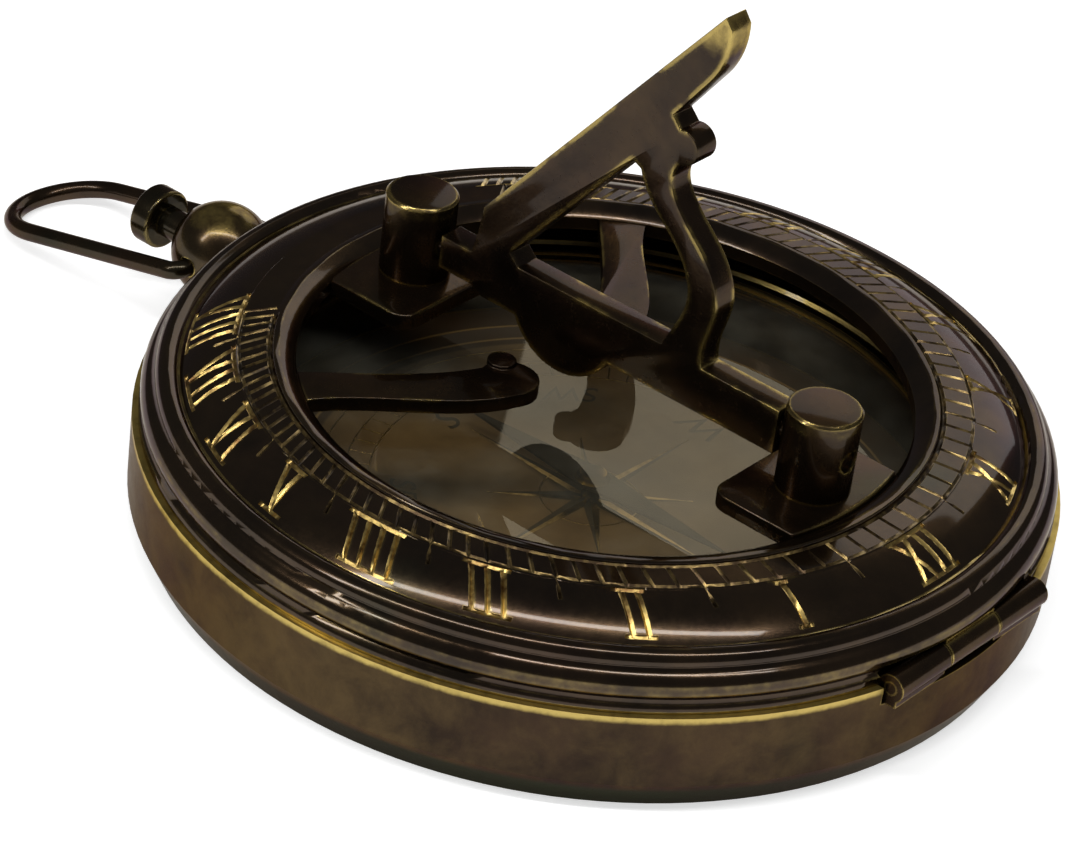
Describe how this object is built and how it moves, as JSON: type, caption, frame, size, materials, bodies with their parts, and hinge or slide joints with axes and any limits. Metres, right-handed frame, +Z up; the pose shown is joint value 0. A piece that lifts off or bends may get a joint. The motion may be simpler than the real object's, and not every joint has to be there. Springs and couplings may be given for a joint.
{
  "type": "pocket sundial",
  "caption": "Push-button pocket sundial: round brass case with a glazed compass, hinged dial lid, folding gnomon on pillars, pendant and bow.",
  "frame": {"origin": "centre of the case's flat resting face", "axes": "+Z up out of the dial, +Y towards the lid hinge and noon (north), +X towards the afternoon hours"},
  "size_m": [0.076, 0.1049, 0.0509],
  "materials": {
    "aged_brass": "dark bronze patina, glossy, rubbed to brass on the edges",
    "bright_brass": "worn, half polished",
    "glass": "clear, slightly aged",
    "card": "printed compass card",
    "needle_steel": "blued steel",
    "spring_steel": "plain steel"
  },
  "bodies": {
    "case": {"case_drum": "aged_brass", "back_plate": "aged_brass", "case_knuckle_east": "aged_brass", "case_knuckle_west": "aged_brass", "hinge_pin": "spring_steel", "compass_bowl": "aged_brass", "compass_card": "card", "glass_rest": "aged_brass", "crystal": "glass", "glass_bezel": "aged_brass", "needle_pivot": "bright_brass", "pendant_neck": "aged_brass", "pendant_ball": "aged_brass", "latch_bracket": "aged_brass", "latch_pin": "spring_steel"},
    "lid": {"dial_ring": "aged_brass", "lid_knuckle": "aged_brass", "lid_catch": "aged_brass", "north_tab": "aged_brass", "south_tab": "aged_brass", "north_pillar": "aged_brass", "south_pillar": "aged_brass", "east_arm": "aged_brass", "west_arm": "aged_brass"},
    "gnomon": {"gnomon": "aged_brass", "north_pivot_pin": "aged_brass", "south_pivot_pin": "aged_brass"},
    "needle": {"compass_needle": "needle_steel", "needle_cap": "bright_brass"},
    "button": {"button_head": "bright_brass", "button_stem": "aged_brass"},
    "bow": {"bow_ring": "aged_brass"},
    "latch": {"latch_hook": "spring_steel"}
  },
  "joints": [
    {"name": "lid_hinge", "type": "hinge", "parent": "case", "child": "lid", "pos_m": [0, 0.037, 0.009], "axis": [-1, 0, 0], "range_deg": [0, 100]},
    {"name": "gnomon_fold", "type": "hinge", "parent": "lid", "child": "gnomon", "pos_m": [0, 0, 0.0187], "axis": [0, 1, 0], "range_deg": [-90, 90]},
    {"name": "needle_spin", "type": "hinge", "parent": "case", "child": "needle", "pos_m": [0, 0, 0.0046], "axis": [0, 0, 1], "continuous": true},
    {"name": "button_press", "type": "slide", "parent": "case", "child": "button", "axis": [0, 1, 0], "range_m": [0, 0.001], "stiffness_N_per_m": 1500, "springref_m": -0.0007},
    {"name": "latch_swing", "type": "hinge", "parent": "case", "child": "latch", "pos_m": [0, -0.0339, 0.0035], "axis": [-1, 0, 0], "range_deg": [0, 19.2]},
    {"name": "bow_swing", "type": "hinge", "parent": "case", "child": "bow", "pos_m": [0, -0.0426, 0.0065], "axis": [-1, 0, 0], "range_deg": [-70, 115]}
  ],
  "couplings": [
    {"joint": "latch_swing", "follows": "button_press", "rad_per_m": 333.3}
  ]
}
